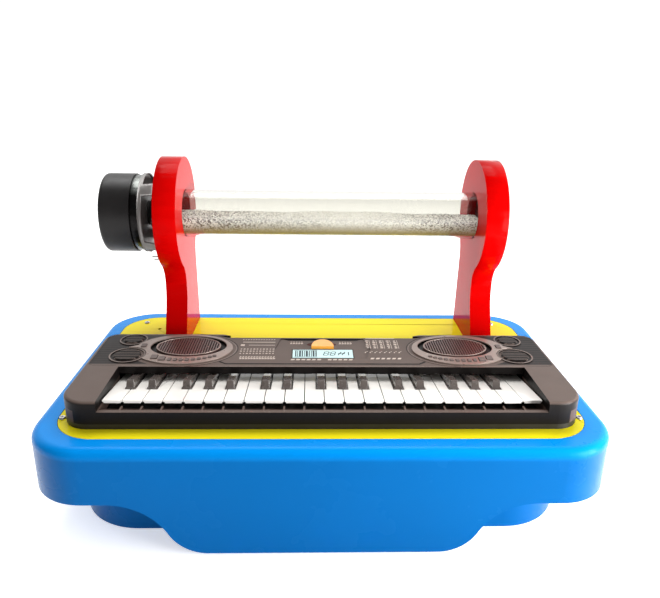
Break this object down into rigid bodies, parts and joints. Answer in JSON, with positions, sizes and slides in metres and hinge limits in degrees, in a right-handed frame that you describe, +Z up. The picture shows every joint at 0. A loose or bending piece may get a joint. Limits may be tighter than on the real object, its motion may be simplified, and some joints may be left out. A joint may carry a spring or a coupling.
{
  "type": "sound wave tube demonstrator",
  "caption": "Table-top sound demonstrator: a toy keyboard on a blue and yellow base drives a loudspeaker at the end of a clear bead-filled tube held in red uprights.",
  "frame": {"origin": "on the floor under the middle of the base", "axes": "+X to the right as seen from the keys, +Y to the back, +Z up"},
  "size_m": [0.53, 0.336, 0.322],
  "materials": {
    "blue_plastic": "glossy moulded blue plastic, lighter where light comes through the rim",
    "yellow_panel": "glossy opaque yellow sheet",
    "red_acrylic": "opaque polished red acrylic, mirror-like at a glancing view",
    "clear_tube": "clear extruded tube",
    "foam_bead": "fine white foam beads",
    "black_plastic": "fine black moulding",
    "cover_plastic": "glossy black moulding",
    "screw_steel": "zinc plated",
    "dark_screw": "blackened steel",
    "plate_steel": "bright zinc plate, turned",
    "basket_grey": "satin grey pressed steel",
    "cone_paper": "dark pressed paper",
    "case_brown": "semi gloss taupe moulding",
    "case_dark": "black moulding",
    "grille_brown": "slotted moulding",
    "trim_taupe": "satin metallic taupe",
    "keypad_rubber": "soft moulded rubber",
    "orange_plastic": "glossy orange",
    "display": "pale liquid crystal window",
    "board_green": "circuit board with rubber pads",
    "key_white": "glossy white moulding",
    "key_black": "semi gloss black moulding"
  },
  "bodies": {
    "stand": {"base_shell": "blue_plastic", "base_plinth": "blue_plastic", "top_panel": "yellow_panel", "casing_screws": "screw_steel", "left_upright": "red_acrylic", "right_upright": "red_acrylic", "upright_screws": "dark_screw", "sound_tube": "clear_tube", "foam_beads": "foam_bead", "tube_end_plug": "black_plastic", "speaker_basket": "basket_grey", "speaker_motor": "plate_steel", "magnet_cover": "cover_plastic", "keyboard_top_case": "case_brown", "keyboard_bottom_case": "case_dark", "speaker_grilles": "grille_brown", "trim_rings": "trim_taupe", "display_window": "display", "key_contact_board": "board_green"},
    "white_key_a": {"white_key_a": "key_white"},
    "white_key_b": {"white_key_b": "key_white"},
    "white_key_c": {"white_key_c": "key_white"},
    "white_key_d": {"white_key_d": "key_white"},
    "white_key_e": {"white_key_e": "key_white"},
    "white_key_f": {"white_key_f": "key_white"},
    "white_key_g": {"white_key_g": "key_white"},
    "white_key_h": {"white_key_h": "key_white"},
    "white_key_i": {"white_key_i": "key_white"},
    "white_key_j": {"white_key_j": "key_white"},
    "white_key_k": {"white_key_k": "key_white"},
    "white_key_l": {"white_key_l": "key_white"},
    "white_key_m": {"white_key_m": "key_white"},
    "white_key_n": {"white_key_n": "key_white"},
    "white_key_o": {"white_key_o": "key_white"},
    "white_key_p": {"white_key_p": "key_white"},
    "white_key_q": {"white_key_q": "key_white"},
    "white_key_r": {"white_key_r": "key_white"},
    "white_key_s": {"white_key_s": "key_white"},
    "white_key_t": {"white_key_t": "key_white"},
    "white_key_u": {"white_key_u": "key_white"},
    "white_key_v": {"white_key_v": "key_white"},
    "black_key_a": {"black_key_a": "key_black"},
    "black_key_b": {"black_key_b": "key_black"},
    "black_key_c": {"black_key_c": "key_black"},
    "black_key_d": {"black_key_d": "key_black"},
    "black_key_e": {"black_key_e": "key_black"},
    "black_key_f": {"black_key_f": "key_black"},
    "black_key_g": {"black_key_g": "key_black"},
    "black_key_h": {"black_key_h": "key_black"},
    "black_key_i": {"black_key_i": "key_black"},
    "black_key_j": {"black_key_j": "key_black"},
    "black_key_k": {"black_key_k": "key_black"},
    "black_key_l": {"black_key_l": "key_black"},
    "black_key_m": {"black_key_m": "key_black"},
    "black_key_n": {"black_key_n": "key_black"},
    "black_key_o": {"black_key_o": "key_black"},
    "left_keypad": {"left_keypad": "keypad_rubber"},
    "right_keypad": {"right_keypad": "keypad_rubber"},
    "start_button": {"start_button": "orange_plastic"},
    "speaker_cone": {"speaker_cone": "cone_paper"}
  },
  "joints": [
    {"name": "white_key_a_hinge", "type": "hinge", "parent": "stand", "child": "white_key_a", "pos_m": [-0.19301, -0.01995, 0.117], "axis": [1, 0, 0], "range_deg": [0, 2.08], "stiffness_Nm_per_rad": 0.15, "springref_deg": -8.59},
    {"name": "white_key_b_hinge", "type": "hinge", "parent": "stand", "child": "white_key_b", "pos_m": [-0.17463, -0.01995, 0.117], "axis": [1, 0, 0], "range_deg": [0, 2.08], "stiffness_Nm_per_rad": 0.15, "springref_deg": -8.59},
    {"name": "white_key_c_hinge", "type": "hinge", "parent": "stand", "child": "white_key_c", "pos_m": [-0.15625, -0.01995, 0.117], "axis": [1, 0, 0], "range_deg": [0, 2.08], "stiffness_Nm_per_rad": 0.15, "springref_deg": -8.59},
    {"name": "white_key_d_hinge", "type": "hinge", "parent": "stand", "child": "white_key_d", "pos_m": [-0.13786, -0.01995, 0.117], "axis": [1, 0, 0], "range_deg": [0, 2.08], "stiffness_Nm_per_rad": 0.15, "springref_deg": -8.59},
    {"name": "white_key_e_hinge", "type": "hinge", "parent": "stand", "child": "white_key_e", "pos_m": [-0.11948, -0.01995, 0.117], "axis": [1, 0, 0], "range_deg": [0, 2.08], "stiffness_Nm_per_rad": 0.15, "springref_deg": -8.59},
    {"name": "white_key_f_hinge", "type": "hinge", "parent": "stand", "child": "white_key_f", "pos_m": [-0.1011, -0.01995, 0.117], "axis": [1, 0, 0], "range_deg": [0, 2.08], "stiffness_Nm_per_rad": 0.15, "springref_deg": -8.59},
    {"name": "white_key_g_hinge", "type": "hinge", "parent": "stand", "child": "white_key_g", "pos_m": [-0.08272, -0.01995, 0.117], "axis": [1, 0, 0], "range_deg": [0, 2.08], "stiffness_Nm_per_rad": 0.15, "springref_deg": -8.59},
    {"name": "white_key_h_hinge", "type": "hinge", "parent": "stand", "child": "white_key_h", "pos_m": [-0.06434, -0.01995, 0.117], "axis": [1, 0, 0], "range_deg": [0, 2.08], "stiffness_Nm_per_rad": 0.15, "springref_deg": -8.59},
    {"name": "white_key_i_hinge", "type": "hinge", "parent": "stand", "child": "white_key_i", "pos_m": [-0.04595, -0.01995, 0.117], "axis": [1, 0, 0], "range_deg": [0, 2.08], "stiffness_Nm_per_rad": 0.15, "springref_deg": -8.59},
    {"name": "white_key_j_hinge", "type": "hinge", "parent": "stand", "child": "white_key_j", "pos_m": [-0.02757, -0.01995, 0.117], "axis": [1, 0, 0], "range_deg": [0, 2.08], "stiffness_Nm_per_rad": 0.15, "springref_deg": -8.59},
    {"name": "white_key_k_hinge", "type": "hinge", "parent": "stand", "child": "white_key_k", "pos_m": [-0.00919, -0.01995, 0.117], "axis": [1, 0, 0], "range_deg": [0, 2.08], "stiffness_Nm_per_rad": 0.15, "springref_deg": -8.59},
    {"name": "white_key_l_hinge", "type": "hinge", "parent": "stand", "child": "white_key_l", "pos_m": [0.00919, -0.01995, 0.117], "axis": [1, 0, 0], "range_deg": [0, 2.08], "stiffness_Nm_per_rad": 0.15, "springref_deg": -8.59},
    {"name": "white_key_m_hinge", "type": "hinge", "parent": "stand", "child": "white_key_m", "pos_m": [0.02757, -0.01995, 0.117], "axis": [1, 0, 0], "range_deg": [0, 2.08], "stiffness_Nm_per_rad": 0.15, "springref_deg": -8.59},
    {"name": "white_key_n_hinge", "type": "hinge", "parent": "stand", "child": "white_key_n", "pos_m": [0.04595, -0.01995, 0.117], "axis": [1, 0, 0], "range_deg": [0, 2.08], "stiffness_Nm_per_rad": 0.15, "springref_deg": -8.59},
    {"name": "white_key_o_hinge", "type": "hinge", "parent": "stand", "child": "white_key_o", "pos_m": [0.06434, -0.01995, 0.117], "axis": [1, 0, 0], "range_deg": [0, 2.08], "stiffness_Nm_per_rad": 0.15, "springref_deg": -8.59},
    {"name": "white_key_p_hinge", "type": "hinge", "parent": "stand", "child": "white_key_p", "pos_m": [0.08272, -0.01995, 0.117], "axis": [1, 0, 0], "range_deg": [0, 2.08], "stiffness_Nm_per_rad": 0.15, "springref_deg": -8.59},
    {"name": "white_key_q_hinge", "type": "hinge", "parent": "stand", "child": "white_key_q", "pos_m": [0.1011, -0.01995, 0.117], "axis": [1, 0, 0], "range_deg": [0, 2.08], "stiffness_Nm_per_rad": 0.15, "springref_deg": -8.59},
    {"name": "white_key_r_hinge", "type": "hinge", "parent": "stand", "child": "white_key_r", "pos_m": [0.11948, -0.01995, 0.117], "axis": [1, 0, 0], "range_deg": [0, 2.08], "stiffness_Nm_per_rad": 0.15, "springref_deg": -8.59},
    {"name": "white_key_s_hinge", "type": "hinge", "parent": "stand", "child": "white_key_s", "pos_m": [0.13786, -0.01995, 0.117], "axis": [1, 0, 0], "range_deg": [0, 2.08], "stiffness_Nm_per_rad": 0.15, "springref_deg": -8.59},
    {"name": "white_key_t_hinge", "type": "hinge", "parent": "stand", "child": "white_key_t", "pos_m": [0.15625, -0.01995, 0.117], "axis": [1, 0, 0], "range_deg": [0, 2.08], "stiffness_Nm_per_rad": 0.15, "springref_deg": -8.59},
    {"name": "white_key_u_hinge", "type": "hinge", "parent": "stand", "child": "white_key_u", "pos_m": [0.17463, -0.01995, 0.117], "axis": [1, 0, 0], "range_deg": [0, 2.08], "stiffness_Nm_per_rad": 0.15, "springref_deg": -8.59},
    {"name": "white_key_v_hinge", "type": "hinge", "parent": "stand", "child": "white_key_v", "pos_m": [0.19301, -0.01995, 0.117], "axis": [1, 0, 0], "range_deg": [0, 2.08], "stiffness_Nm_per_rad": 0.15, "springref_deg": -8.59},
    {"name": "black_key_a_hinge", "type": "hinge", "parent": "stand", "child": "black_key_a", "pos_m": [-0.18474, -0.01995, 0.117], "axis": [1, 0, 0], "range_deg": [0, 2.08], "stiffness_Nm_per_rad": 0.15, "springref_deg": -8.59},
    {"name": "black_key_b_hinge", "type": "hinge", "parent": "stand", "child": "black_key_b", "pos_m": [-0.16397, -0.01995, 0.117], "axis": [1, 0, 0], "range_deg": [0, 2.08], "stiffness_Nm_per_rad": 0.15, "springref_deg": -8.59},
    {"name": "black_key_c_hinge", "type": "hinge", "parent": "stand", "child": "black_key_c", "pos_m": [-0.13125, -0.01995, 0.117], "axis": [1, 0, 0], "range_deg": [0, 2.08], "stiffness_Nm_per_rad": 0.15, "springref_deg": -8.59},
    {"name": "black_key_d_hinge", "type": "hinge", "parent": "stand", "child": "black_key_d", "pos_m": [-0.11029, -0.01995, 0.117], "axis": [1, 0, 0], "range_deg": [0, 2.08], "stiffness_Nm_per_rad": 0.15, "springref_deg": -8.59},
    {"name": "black_key_e_hinge", "type": "hinge", "parent": "stand", "child": "black_key_e", "pos_m": [-0.0897, -0.01995, 0.117], "axis": [1, 0, 0], "range_deg": [0, 2.08], "stiffness_Nm_per_rad": 0.15, "springref_deg": -8.59},
    {"name": "black_key_f_hinge", "type": "hinge", "parent": "stand", "child": "black_key_f", "pos_m": [-0.05606, -0.01995, 0.117], "axis": [1, 0, 0], "range_deg": [0, 2.08], "stiffness_Nm_per_rad": 0.15, "springref_deg": -8.59},
    {"name": "black_key_g_hinge", "type": "hinge", "parent": "stand", "child": "black_key_g", "pos_m": [-0.03529, -0.01995, 0.117], "axis": [1, 0, 0], "range_deg": [0, 2.08], "stiffness_Nm_per_rad": 0.15, "springref_deg": -8.59},
    {"name": "black_key_h_hinge", "type": "hinge", "parent": "stand", "child": "black_key_h", "pos_m": [-0.00257, -0.01995, 0.117], "axis": [1, 0, 0], "range_deg": [0, 2.08], "stiffness_Nm_per_rad": 0.15, "springref_deg": -8.59},
    {"name": "black_key_i_hinge", "type": "hinge", "parent": "stand", "child": "black_key_i", "pos_m": [0.01838, -0.01995, 0.117], "axis": [1, 0, 0], "range_deg": [0, 2.08], "stiffness_Nm_per_rad": 0.15, "springref_deg": -8.59},
    {"name": "black_key_j_hinge", "type": "hinge", "parent": "stand", "child": "black_key_j", "pos_m": [0.03897, -0.01995, 0.117], "axis": [1, 0, 0], "range_deg": [0, 2.08], "stiffness_Nm_per_rad": 0.15, "springref_deg": -8.59},
    {"name": "black_key_k_hinge", "type": "hinge", "parent": "stand", "child": "black_key_k", "pos_m": [0.07261, -0.01995, 0.117], "axis": [1, 0, 0], "range_deg": [0, 2.08], "stiffness_Nm_per_rad": 0.15, "springref_deg": -8.59},
    {"name": "black_key_l_hinge", "type": "hinge", "parent": "stand", "child": "black_key_l", "pos_m": [0.09338, -0.01995, 0.117], "axis": [1, 0, 0], "range_deg": [0, 2.08], "stiffness_Nm_per_rad": 0.15, "springref_deg": -8.59},
    {"name": "black_key_m_hinge", "type": "hinge", "parent": "stand", "child": "black_key_m", "pos_m": [0.1261, -0.01995, 0.117], "axis": [1, 0, 0], "range_deg": [0, 2.08], "stiffness_Nm_per_rad": 0.15, "springref_deg": -8.59},
    {"name": "black_key_n_hinge", "type": "hinge", "parent": "stand", "child": "black_key_n", "pos_m": [0.14705, -0.01995, 0.117], "axis": [1, 0, 0], "range_deg": [0, 2.08], "stiffness_Nm_per_rad": 0.15, "springref_deg": -8.59},
    {"name": "black_key_o_hinge", "type": "hinge", "parent": "stand", "child": "black_key_o", "pos_m": [0.16764, -0.01995, 0.117], "axis": [1, 0, 0], "range_deg": [0, 2.08], "stiffness_Nm_per_rad": 0.15, "springref_deg": -8.59},
    {"name": "left_keypad_press", "type": "slide", "parent": "stand", "child": "left_keypad", "axis": [0, 0, -1], "range_m": [0, 0.0008], "stiffness_N_per_m": 400, "springref_m": -0.002},
    {"name": "right_keypad_press", "type": "slide", "parent": "stand", "child": "right_keypad", "axis": [0, 0, -1], "range_m": [0, 0.0008], "stiffness_N_per_m": 400, "springref_m": -0.002},
    {"name": "start_button_press", "type": "slide", "parent": "stand", "child": "start_button", "axis": [0, 0, -1], "range_m": [0, 0.0012], "stiffness_N_per_m": 400, "springref_m": -0.002},
    {"name": "speaker_cone_stroke", "type": "slide", "parent": "stand", "child": "speaker_cone", "axis": [1, 0, 0], "range_m": [-0.001, 0.001], "stiffness_N_per_m": 1200}
  ]
}
